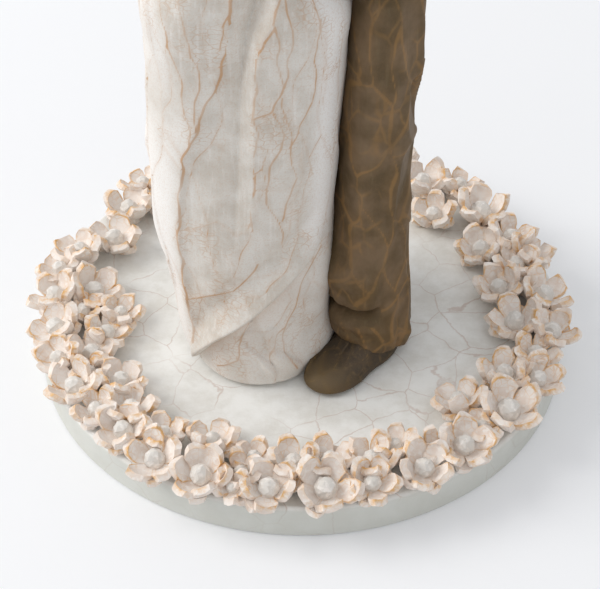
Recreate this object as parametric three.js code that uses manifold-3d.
// Wedding cake topper: a couple stands on a round plinth that is ringed with small blossoms.
// Millimetres, +Z up. The origin is the middle of the plinth's underside and the front is -Y.

import * as THREE from "three";
import { mergeVertices } from "three/addons/utils/BufferGeometryUtils.js";
import Module from "manifold-3d";

// Clearance between pieces that seat on, lean on or are cut by one another
const SEAT_GAP = 0.3;

// Plinth
const BASE_RADIUS = 76;
const BASE_HEIGHT = 11;
const BASE_EDGE_ROUND = 1.5;
const BASE_FOOT_BEVEL = 0.6;

// Blossoms
const PETAL_THICKNESS = 1.5;
const PETAL_RISE_DEG = 40;
const BLOSSOM_EYE_UP = 3.4;
const BLOSSOM_STEM_RADIUS = 2.2;
const BLOSSOM_STEM_LENGTH = 4.5;
const TWIG_RADIUS = 1.6;
const UPRIGHT_INSET = 11;
const LEAN_DEG_PER_MM = 3;
const LEAN_MOST_DEG = 28;

// Where the two figures stand and which way they turn (0 faces the front)
const BRIDE_X = -16;
const BRIDE_Y = -8.5;
const BRIDE_TURN_DEG = 14;
const GROOM_X = 11.5;
const GROOM_Y = 3;
const GROOM_TURN_DEG = -40;

// Bride: heights above the plinth, then half widths and half depths
const BRIDE_HIP = 121;
const BRIDE_WAIST_RISE = 16;
const BODICE_HEIGHT = 26;
const BRIDE_SHOULDER_RISE = 9;
const BRIDE_NECK_LENGTH = 12.5;
const BRIDE_WAIST = BRIDE_HIP + BRIDE_WAIST_RISE;
const BRIDE_BUST_TOP = BRIDE_WAIST + BODICE_HEIGHT;
const BRIDE_SHOULDER = BRIDE_BUST_TOP + BRIDE_SHOULDER_RISE;
const BRIDE_CHIN = BRIDE_SHOULDER + BRIDE_NECK_LENGTH;
const BRIDE_HEAD_HEIGHT = 27;
const GOWN_HEM_WIDTH = 21.6;
const GOWN_HEM_DEPTH = 24.7;
const GOWN_HEM_ROUND = 1.3;
const GOWN_SWING = 4.4;
const GOWN_HIP_WIDTH = 26.4;
const GOWN_HIP_DEPTH = 18.4;
const BRIDE_WAIST_WIDTH = 12.8;
const BRIDE_WAIST_DEPTH = 10.2;
const BRIDE_CHEST_WIDTH = 14.6;
const BRIDE_CHEST_DEPTH = 10.2;
const BRIDE_SHOULDER_WIDTH = 16.5;
const BRIDE_NECK_RADIUS = 4.9;
const BODICE_STEP = 0.7;

// Slanting hem of the overskirt: its low corner, and how steeply it climbs to the right and to the front
const SLANT_CORNER_X = -11.6;
const SLANT_CORNER_Y = -11.7;
const SLANT_CORNER_UP = 1;
const SLANT_CLIMB_RIGHT = 1.18;
const SLANT_CLIMB_FRONT = 0.92;
const OVERSKIRT_STEP = 1.2;

// The gown's deep front fold: its depth and half angle as shares of the gown's width, and where it fades out
const FOLD_DEPTH = 0.13;
const FOLD_HALF_ANGLE = 0.3;
const FOLD_FOOT = 0.4;
const FOLD_FULL = 0.7;
const FOLD_DRIFT = 0.7;

// Groom: heights above the plinth, then half widths and half depths
const TROUSER_HEM = 3.5;
const SHIN_LENGTH = 58.5;
const THIGH_LENGTH = 44;
const SEAT_DEPTH = 16;
const JACKET_SKIRT = 18;
const JACKET_TRUNK = 47;
const GROOM_NECK_LENGTH = 13;
const GROOM_KNEE = TROUSER_HEM + SHIN_LENGTH;
const GROOM_CROTCH = GROOM_KNEE + THIGH_LENGTH;
const JACKET_HEM = GROOM_CROTCH + SEAT_DEPTH;
const GROOM_WAIST = JACKET_HEM + JACKET_SKIRT;
const GROOM_SHOULDER = GROOM_WAIST + JACKET_TRUNK;
const GROOM_CHIN = GROOM_SHOULDER + GROOM_NECK_LENGTH;
const GROOM_HEAD_HEIGHT = 29;
const TROUSER_LEG_WIDTH = 11.3;
const TROUSER_LEG_DEPTH = 11.7;
const JACKET_WAIST_WIDTH = 18.8;
const JACKET_WAIST_DEPTH = 13;
const GROOM_SHOULDER_WIDTH = 22;
const GROOM_NECK_RADIUS = 5.9;
const COLLAR_DEPTH = 1.6;
const GROOM_STANCE = 13.6;
const GROOM_STRIDE = 4.2;

// Shoes
const SHOE_LENGTH = 35;
const SHOE_WIDTH = 15.2;
const SHOE_HEIGHT = 12;
const SHOE_LEAD = 10.5;
const SHOE_SPREAD = 4;

// Hair stands this far off the head
const BRIDE_HAIR_DEPTH = 2.2;
const GROOM_HAIR_DEPTH = 1.6;
const BUN_RADIUS = 6.4;

// Arms and hands
const SLEEVE_RADIUS = 6.4;
const CUFF_RADIUS = 4.6;
const ARM_RADIUS = 4.6;
const WRIST_RADIUS = 2.8;
const HAND_LENGTH = 13;
const HAND_RADIUS = 4.2;

// Shirt front and bow tie
const SHIRT_OPENING_DEPTH = 32;
const SHIRT_OPENING_WIDTH = 7;
const SHIRT_SINK = 0.6;
const BOW_TIE_WIDTH = 12;
const BOW_TIE_HEIGHT = 6;

// Each row is one sprig of one or two blossoms: bearing from +X in degrees, inset from the rim, petal reach
// and, where there are not five, the number of petals
const WREATH = [
  [[3, 4, 8]],
  [[7, 17.4, 7]],
  [[15, 10, 7.2], [18, 2.4, 6.4]],
  [[24, 17, 7.2], [25, 6.5, 7]],
  [[37, 7.6, 8.4]],
  [[45, 19, 6.6]],
  [[56, 9, 7.4], [48, 3.2, 6.4]],
  [[66, 3, 6.8], [69, 12, 7.2]],
  [[80, 6, 7.6], [87, 13, 7]],
  [[93, 3.5, 7], [101, 9.5, 7.6]],
  [[110, 3.5, 6.8], [113, 13, 7.2]],
  [[122, 6, 7.6]],
  [[131, 12.5, 7], [132, 2.8, 6.6]],
  [[141, 8, 7.2]],
  [[153, 12.3, 7.5]],
  [[161, 6, 7.5], [168, 3, 6.4]],
  [[175, 14.6, 7.8], [177, 4.2, 7.4]],
  [[184, 23, 5.8]],
  [[188, 4.6, 7.5]],
  [[192, 18.5, 6.4], [199, 12.8, 7]],
  [[198, 3, 6.2]],
  [[208, 2.9, 7.6], [217, 3.4, 6.3]],
  [[212, 15.8, 7.2]],
  [[222, 12.4, 7], [226, 4.6, 7.4]],
  [[237, 2, 7.6], [234, 11.8, 6.2]],
  [[248, 1.8, 8, 6], [246, 15.6, 7.2]],
  [[258, 14, 5.4], [256, 8, 5.6]],
  [[263, 1.8, 7.8]],
  [[268, 13.2, 7], [277, 13.5, 7]],
  [[275, 2, 8.4]],
  [[285, 2, 6.6], [287, 10, 7.4]],
  [[294, 13, 6.2], [297, 1.8, 7.4]],
  [[308, 3.6, 7.8]],
  [[323, 3.4, 9], [318, 17, 7]],
  [[333, 11.4, 7.4], [335, 1.6, 6.8]],
  [[343, 6.4, 6.2]],
  [[353, 13.8, 7.8], [351, 1.8, 7.2]],
];

const wasm = await Module();
wasm.setup();

const WELD_TOLERANCE = 1e-4;
const FIGURE_SLIVER = 0.05;
const PETAL_SLIVER = 0.2;
const { degToRad } = THREE.MathUtils;

// Moves every vertex of a geometry with the given function.
function reshape(geometry, move) {
  const position = geometry.attributes.position;
  const point = new THREE.Vector3();
  for (let i = 0; i < position.count; i += 1) {
    point.fromBufferAttribute(position, i);
    move(point, i);
    position.setXYZ(i, point.x, point.y, point.z);
  }
  return geometry;
}

// Turns a closed geometry into a solid that can be joined and cut.
function solidOf(geometry) {
  const bare = geometry.clone();
  bare.deleteAttribute("normal");
  bare.deleteAttribute("uv");
  const welded = mergeVertices(bare, WELD_TOLERANCE);
  const corners = welded.index.array;
  const triVerts = [];
  for (let i = 0; i < corners.length; i += 3) {
    const [a, b, c] = corners.slice(i, i + 3);
    if (a !== b && b !== c && c !== a) {
      triVerts.push(a, b, c);
    }
  }
  return new wasm.Manifold(new wasm.Mesh({
    numProp: 3,
    vertProperties: new Float32Array(welded.attributes.position.array),
    triVerts: new Uint32Array(triVerts),
  }));
}

// The largest single skin of a solid, without the slivers and closed bubbles that a cut can leave.
function largestSkin(solid) {
  const { vertProperties, triVerts } = solid.getMesh();
  const parent = Array.from({ length: vertProperties.length / 3 }, (_, vertex) => vertex);
  const rootOf = (vertex) => {
    let root = vertex;
    while (parent[root] !== root) {
      root = parent[root];
    }
    parent[vertex] = root;
    return root;
  };
  for (let i = 0; i < triVerts.length; i += 3) {
    parent[rootOf(triVerts[i])] = rootOf(triVerts[i + 1]);
    parent[rootOf(triVerts[i + 1])] = rootOf(triVerts[i + 2]);
  }
  const corner = (i) => new THREE.Vector3().fromArray(vertProperties, triVerts[i] * 3);
  const volumes = new Map();
  for (let i = 0; i < triVerts.length; i += 3) {
    const root = rootOf(triVerts[i]);
    const volume = corner(i).dot(corner(i + 1).cross(corner(i + 2)));
    volumes.set(root, (volumes.get(root) ?? 0) + volume);
  }
  const [[largest]] = [...volumes].sort(([, one], [, other]) => other - one);
  const kept = triVerts.filter((vertex) => rootOf(vertex) === largest);
  return new wasm.Manifold(new wasm.Mesh({ numProp: 3, vertProperties, triVerts: kept }));
}

// Cuts each of the given solids away, drops edges shorter than sliver and keeps one body.
function carve(solid, cutters, sliver = FIGURE_SLIVER) {
  const cut = cutters.reduce((rest, cutter) => rest.subtract(cutter), solid);
  return largestSkin(largestSkin(cut).simplify(sliver));
}

// A named mesh of a solid, with the finish of its material.
function meshOf(name, solid, finish) {
  const { vertProperties, triVerts } = solid.getMesh();
  const geometry = new THREE.BufferGeometry();
  geometry.setAttribute("position", new THREE.BufferAttribute(vertProperties, 3));
  geometry.setIndex(new THREE.BufferAttribute(triVerts, 1));
  geometry.computeVertexNormals();
  const mesh = new THREE.Mesh(geometry, new THREE.MeshStandardMaterial(finish));
  mesh.name = name;
  return mesh;
}

// A unit drum along Z that the forms below are shaped from.
function drum(sides, steps) {
  return new THREE.CylinderGeometry(1, 1, 1, sides, steps).rotateX(Math.PI / 2);
}

// A unit ball whose poles lie on Z and whose middle column of vertices faces -Y.
function ball(around, upward) {
  return new THREE.SphereGeometry(1, around, upward).rotateX(Math.PI / 2);
}

// Finds points by a figure's own directions: to its left, to its front and up from the plinth.
function standingAt(x, y, turnDeg) {
  const turn = degToRad(turnDeg);
  return (left, front, up) => new THREE.Vector3(
    x + left * Math.cos(turn) + front * Math.sin(turn),
    y + left * Math.sin(turn) - front * Math.cos(turn),
    up,
  );
}

// A closed skin through oval sections from the bottom up. Each section is { up, left, front, wide, deep },
// with half widths. grow swells the skin on every side, and dent can pull a point in.
function loft(place, sections, sides, grow = 0, dent = null) {
  const steps = sections.length - 1;
  return reshape(drum(sides, steps), (point) => {
    const step = Math.round((point.z + 0.5) * steps);
    const { up, left = 0, front = 0, wide, deep } = sections[step];
    const keep = dent ? dent(Math.atan2(point.y, point.x), step / steps) : 1;
    const overhang = step === 0 ? -grow : step === steps ? grow : 0;
    const across = left + point.x * (wide + grow) * keep;
    const forward = front - point.y * (deep + grow) * keep;
    point.copy(place(across, forward, up + overhang));
  });
}

// A round tapering limb on a smooth curve, with radii spread evenly along it.
function limb(points, radii, sides, grow = 0) {
  const curve = new THREE.CatmullRomCurve3(points);
  const steps = (points.length - 1) * 2;
  const { tangents, normals, binormals } = curve.computeFrenetFrames(steps);
  return reshape(drum(sides, steps), (point) => {
    const step = Math.round((point.z + 0.5) * steps);
    const along = (step / steps) * (radii.length - 1);
    const before = Math.min(Math.floor(along), radii.length - 2);
    const radius = THREE.MathUtils.lerp(radii[before], radii[before + 1], along - before) + grow;
    const overhang = step === 0 ? -grow : step === steps ? grow : 0;
    const middle = curve.getPointAt(step / steps);
    middle.addScaledVector(tangents[step], overhang);
    middle.addScaledVector(normals[step], point.x * radius);
    middle.addScaledVector(binormals[step], point.y * radius);
    point.copy(middle);
  });
}

// A flat-bottomed prism that holds everything above a slanting plane.
function aboveSlant(raise) {
  const span = BASE_RADIUS * 2;
  return solidOf(reshape(new THREE.BoxGeometry(span, span, span), (point) => {
    const slant = SLANT_CORNER_UP
      + SLANT_CLIMB_RIGHT * (point.x - BRIDE_X - SLANT_CORNER_X)
      - SLANT_CLIMB_FRONT * (point.y - BRIDE_Y - SLANT_CORNER_Y);
    point.z = slant + raise + (point.z > 0 ? span * 3 : 0);
  }));
}

// Plinth

function basePlinth(grow = 0) {
  const outer = BASE_RADIUS + grow;
  const top = BASE_HEIGHT + grow;
  const profile = [
    new THREE.Vector2(0, -grow),
    new THREE.Vector2(outer - BASE_FOOT_BEVEL, -grow),
    new THREE.Vector2(outer, BASE_FOOT_BEVEL - grow),
  ];
  const roundSteps = 3;
  for (let i = 0; i <= roundSteps; i += 1) {
    const turn = (i / roundSteps) * (Math.PI / 2);
    profile.push(new THREE.Vector2(
      outer - BASE_EDGE_ROUND * (1 - Math.cos(turn)),
      top - BASE_EDGE_ROUND * (1 - Math.sin(turn)),
    ));
  }
  profile.push(new THREE.Vector2(0, top));
  return solidOf(new THREE.LatheGeometry(profile, 48).rotateX(Math.PI / 2));
}

// Blossoms

const EYE_SHARE = 0.36;
const NOTCH_SHARE = 0.7;
const POINTS_PER_PETAL = 3;
const PETAL_WIDENING_DEG = 9;
const TWIG_INSET = 4;

// The place and lean of a blossom: it leans outward near the rim and inward near the figures.
function blossomPlace([bearingDeg, inset]) {
  const bearing = degToRad(bearingDeg);
  const radius = BASE_RADIUS - inset;
  const wanted = (UPRIGHT_INSET - inset) * LEAN_DEG_PER_MM;
  const lean = THREE.MathUtils.clamp(wanted, -LEAN_MOST_DEG / 2, LEAN_MOST_DEG);
  const spin = degToRad(bearingDeg * 2 + inset * 17);
  return new THREE.Matrix4()
    .makeTranslation(radius * Math.cos(bearing), radius * Math.sin(bearing), BASE_HEIGHT + BLOSSOM_EYE_UP)
    .multiply(new THREE.Matrix4().makeRotationZ(bearing))
    .multiply(new THREE.Matrix4().makeRotationY(degToRad(lean)))
    .multiply(new THREE.Matrix4().makeRotationZ(spin));
}

// One blossom: a stem, a ring of thick cupped petals parted by notches, and a domed eye.
function blossom(spec) {
  const [, , reach, petals = 5] = spec;
  const rise = degToRad(PETAL_RISE_DEG);
  const eye = reach * EYE_SHARE;
  const length = (reach - eye) / Math.cos(rise) ** 0.5;
  const tip = new THREE.Vector2(eye + length * Math.cos(rise), length * Math.sin(rise));
  const under = new THREE.Vector2(Math.sin(rise), -Math.cos(rise)).multiplyScalar(PETAL_THICKNESS);
  const rim = [2, 3];
  const upright = new THREE.Vector3(0, 1, 0);
  const widening = degToRad(PETAL_WIDENING_DEG) * (5 / petals);
  const profile = [
    new THREE.Vector2(0, -BLOSSOM_STEM_LENGTH),
    new THREE.Vector2(BLOSSOM_STEM_RADIUS, -BLOSSOM_STEM_LENGTH),
    tip.clone().add(under),
    tip,
    new THREE.Vector2(eye, 0),
    new THREE.Vector2(0, eye * 0.7),
  ];
  const lathe = new THREE.LatheGeometry(profile, petals * POINTS_PER_PETAL);
  reshape(lathe, (point, index) => {
    const spoke = Math.floor(index / profile.length) % POINTS_PER_PETAL;
    const onRim = rim.includes(index % profile.length);
    if (onRim && spoke === 0) {
      point.multiplyScalar(NOTCH_SHARE);
    }
    if (onRim && spoke > 0) {
      point.applyAxisAngle(upright, spoke === 1 ? -widening : widening);
    }
  });
  return solidOf(lathe.rotateX(Math.PI / 2).applyMatrix4(blossomPlace(spec)));
}

// The whole cup of a blossom, which its neighbours keep clear of.
function blossomCup(spec) {
  const [, , reach] = spec;
  const tipUp = (reach - reach * EYE_SHARE) * Math.tan(degToRad(PETAL_RISE_DEG));
  const profile = [
    new THREE.Vector2(0, -BLOSSOM_STEM_LENGTH - SEAT_GAP),
    new THREE.Vector2(BLOSSOM_STEM_RADIUS + SEAT_GAP, -BLOSSOM_STEM_LENGTH - SEAT_GAP),
    new THREE.Vector2(reach + PETAL_THICKNESS, tipUp - PETAL_THICKNESS),
    new THREE.Vector2(reach + SEAT_GAP, tipUp + PETAL_THICKNESS),
    new THREE.Vector2(0, tipUp + PETAL_THICKNESS),
  ];
  return solidOf(new THREE.LatheGeometry(profile, 8).rotateX(Math.PI / 2).applyMatrix4(blossomPlace(spec)));
}

// The short twig on the plinth that joins the two stems of a pair.
function twig(sprig) {
  const ends = sprig.map((spec) => {
    const [bearingDeg, inset] = spec;
    const bearing = degToRad(bearingDeg);
    const foot = BASE_RADIUS - Math.max(inset, TWIG_INSET);
    return new THREE.Vector3(foot * Math.cos(bearing), foot * Math.sin(bearing), BASE_HEIGHT + TWIG_RADIUS);
  });
  return solidOf(limb(ends, [TWIG_RADIUS, TWIG_RADIUS], 5));
}

// Larger blossoms keep all their petals, and the smaller ones tuck in behind them.
function wreath() {
  const bed = basePlinth(SEAT_GAP);
  const largest = (sprig) => Math.max(...sprig.map(([, , reach]) => reach));
  const order = WREATH.map((sprig, index) => ({ sprig, name: `blossom_${index + 1}` }));
  order.sort((one, other) => largest(other.sprig) - largest(one.sprig));
  const cups = [];
  return order.map(({ sprig, name }) => {
    const [first, second] = sprig;
    const body = second
      ? blossom(second).subtract(blossomCup(first)).add(twig(sprig)).add(blossom(first))
      : blossom(first);
    const clear = carve(body, [bed, ...cups], PETAL_SLIVER);
    cups.push(...sprig.map(blossomCup));
    return { name, body: clear };
  });
}

// Bride

const brideAt = standingAt(BRIDE_X, BRIDE_Y, BRIDE_TURN_DEG);
const gownAt = standingAt(BRIDE_X, BRIDE_Y, 0);

// The gown's one deep fold, which runs down the front and drifts to the bride's right.
function gownFold(angle, share) {
  const fade = THREE.MathUtils.smoothstep(share, FOLD_FOOT, FOLD_FULL);
  const middle = -Math.PI / 2 - (1 - share) * FOLD_DRIFT;
  return 1 - FOLD_DEPTH * fade * Math.exp(-(((angle - middle) / FOLD_HALF_ANGLE) ** 2));
}

// The gown runs nearly straight from the hip, then draws in and swings to the bride's left at the hem.
function gown(grow = 0) {
  const between = (low, high, share) => THREE.MathUtils.lerp(low, high, share);
  const tier = (share, swing, spread) => ({
    up: share * BRIDE_HIP,
    left: swing * GOWN_SWING,
    wide: between(GOWN_HEM_WIDTH, GOWN_HIP_WIDTH, spread),
    deep: between(GOWN_HEM_DEPTH, GOWN_HIP_DEPTH, Math.sqrt(share)),
  });
  const tuck = (share, spread) => ({
    up: BRIDE_HIP + share * BRIDE_WAIST_RISE,
    wide: between(BRIDE_WAIST_WIDTH, GOWN_HIP_WIDTH, spread),
    deep: between(BRIDE_WAIST_DEPTH, GOWN_HIP_DEPTH, spread),
  });
  return solidOf(loft(gownAt, [
    {
      up: 0,
      left: GOWN_SWING * 0.85,
      wide: GOWN_HEM_WIDTH - GOWN_HEM_ROUND,
      deep: GOWN_HEM_DEPTH - GOWN_HEM_ROUND,
    },
    tier(0.03, 0.9, 0),
    tier(0.11, 0.45, 0.08),
    tier(0.22, 0.33, 0.37),
    tier(0.37, -0.13, 0.74),
    tier(0.52, -0.22, 0.82),
    tier(0.68, -0.09, 0.84),
    tier(0.85, 0.04, 0.94),
    tier(1, 0.09, 1),
    tuck(0.45, 0.7),
    tuck(0.8, 0.2),
    tuck(1, 0),
  ], 28, grow, gownFold));
}

function bodice(grow = 0) {
  const rise = BODICE_HEIGHT;
  const wide = BRIDE_CHEST_WIDTH;
  const deep = BRIDE_CHEST_DEPTH;
  return solidOf(loft(brideAt, [
    { up: BRIDE_WAIST + SEAT_GAP, wide: BRIDE_WAIST_WIDTH, deep: BRIDE_WAIST_DEPTH },
    { up: BRIDE_WAIST + rise * 0.3, left: -0.5, wide: wide * 0.88, deep },
    { up: BRIDE_WAIST + rise * 0.62, left: -1, front: 0.8, wide: wide * 0.99, deep: deep * 1.14 },
    { up: BRIDE_WAIST + rise * 0.85, left: -1.5, front: 1, wide: wide * 1.03, deep: deep * 1.16 },
    { up: BRIDE_BUST_TOP, left: -1.5, front: 0.4, wide, deep },
  ], 20, grow));
}

function brideShoulders(grow = 0) {
  const rise = BRIDE_SHOULDER_RISE;
  const neck = BRIDE_NECK_LENGTH;
  const wide = BRIDE_SHOULDER_WIDTH;
  const deep = BRIDE_CHEST_DEPTH - BODICE_STEP;
  const round = BRIDE_NECK_RADIUS;
  return solidOf(loft(brideAt, [
    { up: BRIDE_BUST_TOP + SEAT_GAP, left: -1.5, wide: BRIDE_CHEST_WIDTH - BODICE_STEP, deep },
    { up: BRIDE_BUST_TOP + rise * 0.65, left: -1.5, wide, deep: deep * 0.9 },
    { up: BRIDE_SHOULDER + neck * 0.06, left: -1.5, wide: wide * 0.88, deep: deep * 0.75 },
    { up: BRIDE_SHOULDER + neck * 0.25, left: -1.2, wide: wide * 0.46, deep: round * 1.15 },
    { up: BRIDE_SHOULDER + neck * 0.45, left: -0.8, wide: round * 1.05, deep: round },
    { up: BRIDE_CHIN + neck * 0.12, left: 0.6, wide: round, deep: round },
  ], 18, grow));
}

// A head that narrows from the brow to the chin, with a low nose. It tilts to the figure's left and nods
// forward about its middle, which lies half a head above the chin.
function head(place, { left, front, tiltDeg, nodDeg }, chinUp, height, grow) {
  const half = height / 2;
  const wide = half * 0.74 + grow;
  const deep = half * 0.9 + grow;
  const lean = new THREE.Euler(degToRad(nodDeg), degToRad(tiltDeg), 0);
  return solidOf(reshape(ball(12, 10), (point) => {
    const below = Math.max(0, -point.z) ** 2;
    const onNose = Math.abs(point.x) < 0.05 && point.y < 0 && point.z < 0.2 && point.z > -0.4;
    point.set(
      point.x * (1 - 0.36 * below) * wide,
      (point.y * (1 - 0.2 * below + (onNose ? 0.12 : 0)) - 0.15 * below) * deep,
      point.z * (half + grow),
    );
    point.applyEuler(lean);
    point.copy(place(left + point.x, front - point.y, chinUp + half + point.z));
  }));
}

const BRIDE_POISE = { left: 3, front: 1.5, tiltDeg: 9, nodDeg: 4 };
const GROOM_POISE = { left: -1, front: 3, tiltDeg: -7, nodDeg: 9 };

function brideHead(grow = 0) {
  return head(brideAt, BRIDE_POISE, BRIDE_CHIN, BRIDE_HEAD_HEIGHT, grow);
}

// The bride's hair follows the head, set back and up, and is drawn into a low bun at the nape.
function brideHair(grow = 0) {
  const { left, front } = BRIDE_POISE;
  const setBack = { ...BRIDE_POISE, front: front - BRIDE_HAIR_DEPTH * 1.2 };
  const chinUp = BRIDE_CHIN + BRIDE_HAIR_DEPTH;
  const cap = head(brideAt, setBack, chinUp, BRIDE_HEAD_HEIGHT, BRIDE_HAIR_DEPTH + grow);
  const size = BUN_RADIUS + grow;
  const bunUp = BRIDE_CHIN + BRIDE_HEAD_HEIGHT * 0.36;
  const bun = solidOf(reshape(ball(12, 8), (point) => {
    point.multiplyScalar(size);
    point.copy(brideAt(left + point.x, front - BRIDE_HEAD_HEIGHT / 2 - point.y, bunUp + point.z));
  }));
  return cap.add(bun);
}

// The space before a face, which opens the hair from the jaw to the hairline.
function faceSpace(place, { left, front }, chinUp, height) {
  return solidOf(reshape(new THREE.BoxGeometry(height, height, height), (point) => {
    const high = point.z > 0;
    const reach = point.y < 0 ? height : 0;
    point.copy(place(
      left + point.x * 1.2,
      front + reach + height * (high ? 0.3 : 0.08),
      chinUp + height * (high ? 0.84 : -0.2),
    ));
  }));
}

// Groom

const groomAt = standingAt(GROOM_X, GROOM_Y, GROOM_TURN_DEG);

// One trouser leg, from the hem to under the jacket; side is 1 for the groom's left and -1 for the right.
function trouserLeg(side, grow) {
  const ring = (up, spread, stride, width, depth) => ({
    up,
    left: side * GROOM_STANCE * spread,
    front: side * GROOM_STRIDE * stride,
    wide: TROUSER_LEG_WIDTH * width,
    deep: TROUSER_LEG_DEPTH * depth,
  });
  const shin = SHIN_LENGTH;
  const thigh = THIGH_LENGTH;
  return solidOf(loft(groomAt, [
    ring(TROUSER_HEM, 1, 1, 1, 1),
    ring(TROUSER_HEM + shin * 0.12, 1, 1, 1.03, 1.02),
    ring(TROUSER_HEM + shin * 0.3, 0.97, 1, 0.97, 0.97),
    ring(TROUSER_HEM + shin * 0.65, 0.92, 1, 0.97, 0.97),
    ring(GROOM_KNEE, 0.88, 1, 0.99, 0.99),
    ring(GROOM_KNEE + thigh * 0.5, 0.86, 0.7, 1.03, 1.03),
    ring(GROOM_CROTCH, 0.84, 0.3, 1.06, 1.08),
    ring(JACKET_HEM - SEAT_GAP, 0.76, 0, 1.03, 1.09),
  ], 14, grow));
}

function trousers(grow = 0) {
  const drop = SEAT_DEPTH;
  const seat = solidOf(loft(groomAt, [
    { up: GROOM_CROTCH - drop * 0.25, wide: JACKET_WAIST_WIDTH * 0.6, deep: JACKET_WAIST_DEPTH * 0.55 },
    { up: GROOM_CROTCH + drop * 0.25, wide: JACKET_WAIST_WIDTH, deep: JACKET_WAIST_DEPTH * 0.85 },
    { up: JACKET_HEM - SEAT_GAP, wide: JACKET_WAIST_WIDTH * 1.05, deep: JACKET_WAIST_DEPTH * 0.95 },
  ], 14, grow));
  return trouserLeg(1, grow).add(trouserLeg(-1, grow)).add(seat);
}

// A round-toed shoe with a flat sole; side is 1 for the groom's left and -1 for the right.
function shoe(side) {
  return solidOf(reshape(ball(16, 10), (point) => {
    const toeward = -point.y;
    const instep = SHOE_HEIGHT * (1 - 0.28 * toeward);
    point.copy(groomAt(
      side * (GROOM_STANCE + SHOE_SPREAD) + point.x * (SHOE_WIDTH / 2),
      side * GROOM_STRIDE + SHOE_LEAD + toeward * (SHOE_LENGTH / 2),
      Math.max(0, point.z) * instep,
    ));
  }));
}

function jacket(grow = 0) {
  const skirt = JACKET_SKIRT;
  const trunk = JACKET_TRUNK;
  const neck = GROOM_NECK_LENGTH;
  const wide = JACKET_WAIST_WIDTH;
  const deep = JACKET_WAIST_DEPTH;
  const reach = GROOM_SHOULDER_WIDTH;
  const collar = GROOM_NECK_RADIUS + COLLAR_DEPTH;
  return solidOf(loft(groomAt, [
    { up: JACKET_HEM, wide: wide * 1.12, deep: deep * 1.12 },
    { up: JACKET_HEM + skirt * 0.5, wide: wide * 1.05, deep: deep * 1.06 },
    { up: GROOM_WAIST, wide, deep },
    { up: GROOM_WAIST + trunk * 0.3, wide: wide * 1.06, deep: deep * 1.03 },
    { up: GROOM_WAIST + trunk * 0.62, front: 0.5, wide: reach * 0.98, deep: deep * 1.08 },
    { up: GROOM_WAIST + trunk * 0.86, wide: reach, deep: deep * 0.98 },
    { up: GROOM_SHOULDER, front: -0.4, wide: reach * 0.95, deep: deep * 0.83 },
    { up: GROOM_SHOULDER + neck * 0.3, front: -0.4, wide: reach * 0.5, deep: collar * 1.15 },
    { up: GROOM_SHOULDER + neck * 0.5, front: -0.4, wide: collar, deep: collar },
  ], 20, grow));
}

// The V in the jacket's front that the shirt fills.
function shirtOpening(grow = 0) {
  const top = GROOM_SHOULDER + GROOM_NECK_LENGTH * 0.6;
  const outline = new THREE.Shape([
    new THREE.Vector2(-SHIRT_OPENING_WIDTH - grow, top),
    new THREE.Vector2(0, top - SHIRT_OPENING_DEPTH - grow * 3),
    new THREE.Vector2(SHIRT_OPENING_WIDTH + grow, top),
  ]);
  const depth = JACKET_WAIST_DEPTH * 2;
  const prism = new THREE.ExtrudeGeometry(outline, { depth, bevelEnabled: false });
  return solidOf(reshape(prism, (point) => {
    point.copy(groomAt(point.x, point.z + JACKET_WAIST_DEPTH * 0.25 - grow, point.y));
  }));
}

function groomHead(grow = 0) {
  const neck = GROOM_NECK_LENGTH;
  const round = GROOM_NECK_RADIUS;
  const stem = solidOf(loft(groomAt, [
    { up: GROOM_SHOULDER + neck * 0.12, wide: round, deep: round },
    { up: GROOM_SHOULDER + neck * 0.75, front: 0.6, wide: round, deep: round },
    { up: GROOM_CHIN + neck * 0.3, left: GROOM_POISE.left, front: 1.4, wide: round, deep: round },
  ], 14, grow));
  return head(groomAt, GROOM_POISE, GROOM_CHIN, GROOM_HEAD_HEIGHT, grow).add(stem);
}

function groomHair(grow = 0) {
  const setBack = { ...GROOM_POISE, front: GROOM_POISE.front - GROOM_HAIR_DEPTH * 1.4 };
  const chinUp = GROOM_CHIN + GROOM_HAIR_DEPTH * 1.8;
  return head(groomAt, setBack, chinUp, GROOM_HEAD_HEIGHT, GROOM_HAIR_DEPTH + grow);
}

function bowTie() {
  const half = BOW_TIE_WIDTH / 2;
  const high = BOW_TIE_HEIGHT / 2;
  const profile = [
    new THREE.Vector2(0, -half),
    new THREE.Vector2(high, -half),
    new THREE.Vector2(high * 0.45, 0),
    new THREE.Vector2(high, half),
    new THREE.Vector2(0, half),
  ];
  const front = GROOM_NECK_RADIUS + high * 1.4;
  const up = GROOM_SHOULDER + GROOM_NECK_LENGTH * 0.42;
  return solidOf(reshape(new THREE.LatheGeometry(profile, 10), (point) => {
    point.copy(groomAt(point.y, front + point.x * 0.7, up + point.z));
  }));
}

// Arms: each list holds the joints of an arm from inside the shoulder to the wrist, stepped off in radii of
// the sleeve or the bare arm

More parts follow.
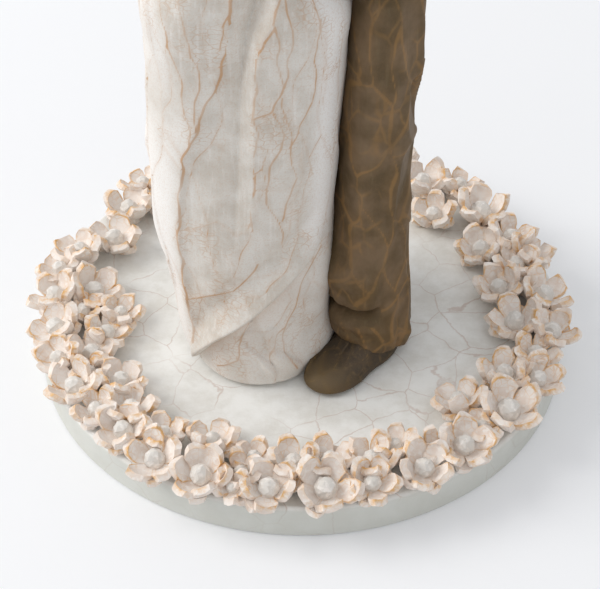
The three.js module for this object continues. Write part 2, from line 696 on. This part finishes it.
const CLASP_UP = BRIDE_WAIST + SLEEVE_RADIUS * 1.25;
const CLASP_FRONT = BRIDE_WAIST_DEPTH + CUFF_RADIUS * 1.15;
const CLASP_LEFT = BRIDE_WAIST_WIDTH * 0.55;
const GROOM_SIDE = GROOM_SHOULDER_WIDTH;
const BRIDE_SIDE = BRIDE_SHOULDER_WIDTH;
const sleeves = (count) => SLEEVE_RADIUS * count;
const arms = (count) => ARM_RADIUS * count;
const GROOM_LEFT_ARM = [
  groomAt(GROOM_SIDE - sleeves(1.25), 0, GROOM_SHOULDER - sleeves(1.1)),
  groomAt(GROOM_SIDE + sleeves(0.15), 0, GROOM_SHOULDER - sleeves(2.2)),
  groomAt(GROOM_SIDE + sleeves(0.8), sleeves(0.5), GROOM_SHOULDER - sleeves(5.6)),
  brideAt(sleeves(4.05), CLASP_FRONT - sleeves(0.15), CLASP_UP + sleeves(0.6)),
  brideAt(sleeves(2.35), CLASP_FRONT + sleeves(0.15), CLASP_UP + sleeves(0.15)),
];
const GROOM_RIGHT_ARM = [
  groomAt(sleeves(1.25) - GROOM_SIDE, 0, GROOM_SHOULDER - sleeves(1.1)),
  groomAt(-GROOM_SIDE - sleeves(0.3), -sleeves(0.15), GROOM_SHOULDER - sleeves(2.2)),
  brideAt(sleeves(0.45), -BRIDE_CHEST_DEPTH - sleeves(1.5), BRIDE_WAIST + sleeves(4.85)),
  brideAt(-sleeves(2.05), -BRIDE_CHEST_DEPTH - sleeves(1.35), BRIDE_WAIST + sleeves(3.9)),
  brideAt(-BRIDE_SIDE - sleeves(0.85), -BRIDE_CHEST_DEPTH, BRIDE_WAIST + sleeves(3.75)),
];
const BRIDE_RIGHT_ARM = [
  brideAt(arms(1.1) - BRIDE_SIDE, 0, BRIDE_SHOULDER - arms(1.1)),
  brideAt(-BRIDE_SIDE - arms(0.45), 0, BRIDE_SHOULDER - arms(1.95)),
  brideAt(-BRIDE_SIDE - arms(1.1), arms(0.45), BRIDE_SHOULDER - arms(6.1)),
  brideAt(-arms(2.8), CLASP_FRONT - arms(0.55), CLASP_UP - arms(0.2)),
  brideAt(-arms(1.3), CLASP_FRONT + arms(0.35), CLASP_UP - arms(0.2)),
];
const BRIDE_LEFT_ARM = [
  brideAt(BRIDE_SIDE - arms(1.75), arms(0.2), BRIDE_SHOULDER - arms(1.1)),
  brideAt(BRIDE_SIDE + arms(0.2), arms(1.75), BRIDE_SHOULDER - arms(1.95)),
  brideAt(BRIDE_SIDE + arms(1.3), arms(4.35), BRIDE_SHOULDER - arms(3.5)),
  groomAt(arms(1.75), JACKET_WAIST_DEPTH + arms(1.5), BRIDE_SHOULDER - arms(1.75)),
  groomAt(arms(2.05), JACKET_WAIST_DEPTH + arms(0.85), BRIDE_SHOULDER - arms(0.25)),
];

// A closed, relaxed hand that carries on from a wrist towards a point.
function hand(arm, towards, grow) {
  const wrist = arm[arm.length - 1];
  const way = towards.clone().sub(wrist).setLength(HAND_LENGTH);
  const start = wrist.clone().addScaledVector(way, SEAT_GAP / HAND_LENGTH);
  const points = [0, 0.35, 0.7, 1].map((share) => start.clone().addScaledVector(way, share));
  const radii = [WRIST_RADIUS, HAND_RADIUS, HAND_RADIUS * 0.9, HAND_RADIUS * 0.45];
  return solidOf(limb(points, radii, 8, grow));
}

const sleeve = (joints) => (grow) => {
  const radii = [SLEEVE_RADIUS, SLEEVE_RADIUS, (SLEEVE_RADIUS + CUFF_RADIUS) / 2, CUFF_RADIUS];
  return solidOf(limb(joints, radii, 9, grow));
};

// A bare arm in two lengths that meet in a round elbow, so that it can fold sharply.
const bareArm = ([shoulder, armpit, elbow, ...forearm]) => (grow) => {
  const middle = (ARM_RADIUS + WRIST_RADIUS) / 2;
  const upper = limb([shoulder, armpit, elbow], [ARM_RADIUS, ARM_RADIUS, middle], 9, grow);
  const lower = limb([elbow, ...forearm], [middle, middle, WRIST_RADIUS], 9, grow);
  const bend = reshape(ball(9, 6), (point) => {
    point.multiplyScalar(middle + grow).add(elbow);
  });
  return solidOf(upper).add(solidOf(lower)).add(solidOf(bend));
};

// Finishes

const CREAM_GOWN = { color: 0xd9d2c8, roughness: 0.75, metalness: 0 };
const SKIN = { color: 0xd8b698, roughness: 0.7, metalness: 0 };
const BROWN_HAIR = { color: 0x5a3f2a, roughness: 0.75, metalness: 0 };
const OLIVE_BROWN = { color: 0x5c4e38, roughness: 0.7, metalness: 0 };
const DARK_BROWN = { color: 0x3c322a, roughness: 0.65, metalness: 0 };
const WHITE_SHIRT = { color: 0xe6e0d4, roughness: 0.75, metalness: 0 };
const BASE_STONE = { color: 0xdedcd6, roughness: 0.8, metalness: 0 };
const PETAL_CREAM = { color: 0xdccdc2, roughness: 0.75, metalness: 0 };

const plinth = new THREE.Group();
plinth.add(meshOf("base_disc", basePlinth(), BASE_STONE));
for (const { name, body } of wreath()) {
  plinth.add(meshOf(name, body, PETAL_CREAM));
}

// The figures are made from the plinth's top up, each piece cut clear of those made before it
const couple = new THREE.Group();
couple.position.z = BASE_HEIGHT + SEAT_GAP;

function addPiece(name, solid, finish) {
  couple.add(meshOf(name, solid, finish));
}

const gownClear = gown(SEAT_GAP);
const bodiceClear = bodice(SEAT_GAP);
const shouldersClear = brideShoulders(SEAT_GAP);
const brideHeadClear = brideHead(SEAT_GAP);
const brideClear = [gownClear, bodiceClear, shouldersClear, brideHeadClear, brideHair(SEAT_GAP)];
const brideFace = faceSpace(brideAt, BRIDE_POISE, BRIDE_CHIN, BRIDE_HEAD_HEIGHT);

addPiece("gown_overskirt", largestSkin(gown().intersect(aboveSlant(0))), CREAM_GOWN);
addPiece("gown_underskirt", carve(gown(-OVERSKIRT_STEP), [aboveSlant(-SEAT_GAP)]), CREAM_GOWN);
addPiece("gown_bodice", carve(bodice(), [gownClear]), CREAM_GOWN);
addPiece("bride_shoulders", carve(brideShoulders(), [bodiceClear]), SKIN);
addPiece("bride_head", carve(brideHead(), [shouldersClear]), SKIN);
addPiece("bride_hair", carve(brideHair(), [brideFace, brideHeadClear, shouldersClear]), BROWN_HAIR);

const trousersClear = trousers(SEAT_GAP);
const jacketClear = jacket(SEAT_GAP);
const groomHeadClear = groomHead(SEAT_GAP);
const groomClear = [trousersClear, jacketClear, groomHeadClear, groomHair(SEAT_GAP)];
const groomFace = faceSpace(groomAt, GROOM_POISE, GROOM_CHIN, GROOM_HEAD_HEIGHT);
const shirtFront = jacket(-SHIRT_SINK).intersect(shirtOpening());

addPiece("groom_trousers", carve(trousers(), [gownClear]), OLIVE_BROWN);
addPiece("groom_left_shoe", carve(shoe(1), [gownClear, trousersClear]), DARK_BROWN);
addPiece("groom_right_shoe", carve(shoe(-1), [gownClear, trousersClear]), DARK_BROWN);
addPiece("groom_jacket", carve(jacket(), [shirtOpening(SEAT_GAP), ...brideClear]), OLIVE_BROWN);
addPiece("groom_shirt", carve(shirtFront, brideClear), WHITE_SHIRT);
addPiece("groom_head", carve(groomHead(), [jacketClear, ...brideClear]), SKIN);
addPiece("groom_hair", carve(groomHair(), [groomFace, groomHeadClear, ...brideClear]), BROWN_HAIR);
addPiece("groom_bow_tie", carve(bowTie(), [jacketClear, groomHeadClear, ...brideClear]), DARK_BROWN);

const limbsClear = [];

function addLimb(name, make, finish) {
  addPiece(name, carve(make(0), [...brideClear, ...groomClear, ...limbsClear]), finish);
  limbsClear.push(make(SEAT_GAP));
}

// What each hand reaches for
const CLASP = brideAt(CLASP_LEFT, CLASP_FRONT, CLASP_UP);
const CLASP_OVER = brideAt(CLASP_LEFT, CLASP_FRONT + HAND_RADIUS, CLASP_UP - arms(0.2));
const BRIDE_UPPER_ARM = brideAt(-BRIDE_SIDE - arms(1.75), arms(0.85), BRIDE_WAIST + arms(5));
const GROOM_CHEST = groomAt(arms(2.2), JACKET_WAIST_DEPTH, BRIDE_SHOULDER + arms(2.15));

addLimb("groom_left_sleeve", sleeve(GROOM_LEFT_ARM), OLIVE_BROWN);
addLimb("groom_left_hand", (grow) => hand(GROOM_LEFT_ARM, CLASP, grow), SKIN);
addLimb("bride_right_arm", bareArm(BRIDE_RIGHT_ARM), SKIN);
addLimb("bride_right_hand", (grow) => hand(BRIDE_RIGHT_ARM, CLASP_OVER, grow), SKIN);
addLimb("groom_right_sleeve", sleeve(GROOM_RIGHT_ARM), OLIVE_BROWN);
addLimb("groom_right_hand", (grow) => hand(GROOM_RIGHT_ARM, BRIDE_UPPER_ARM, grow), SKIN);
addLimb("bride_left_arm", bareArm(BRIDE_LEFT_ARM), SKIN);
addLimb("bride_left_hand", (grow) => hand(BRIDE_LEFT_ARM, GROOM_CHEST, grow), SKIN);

const topper = new THREE.Group();
topper.add(plinth, couple);

export default topper;
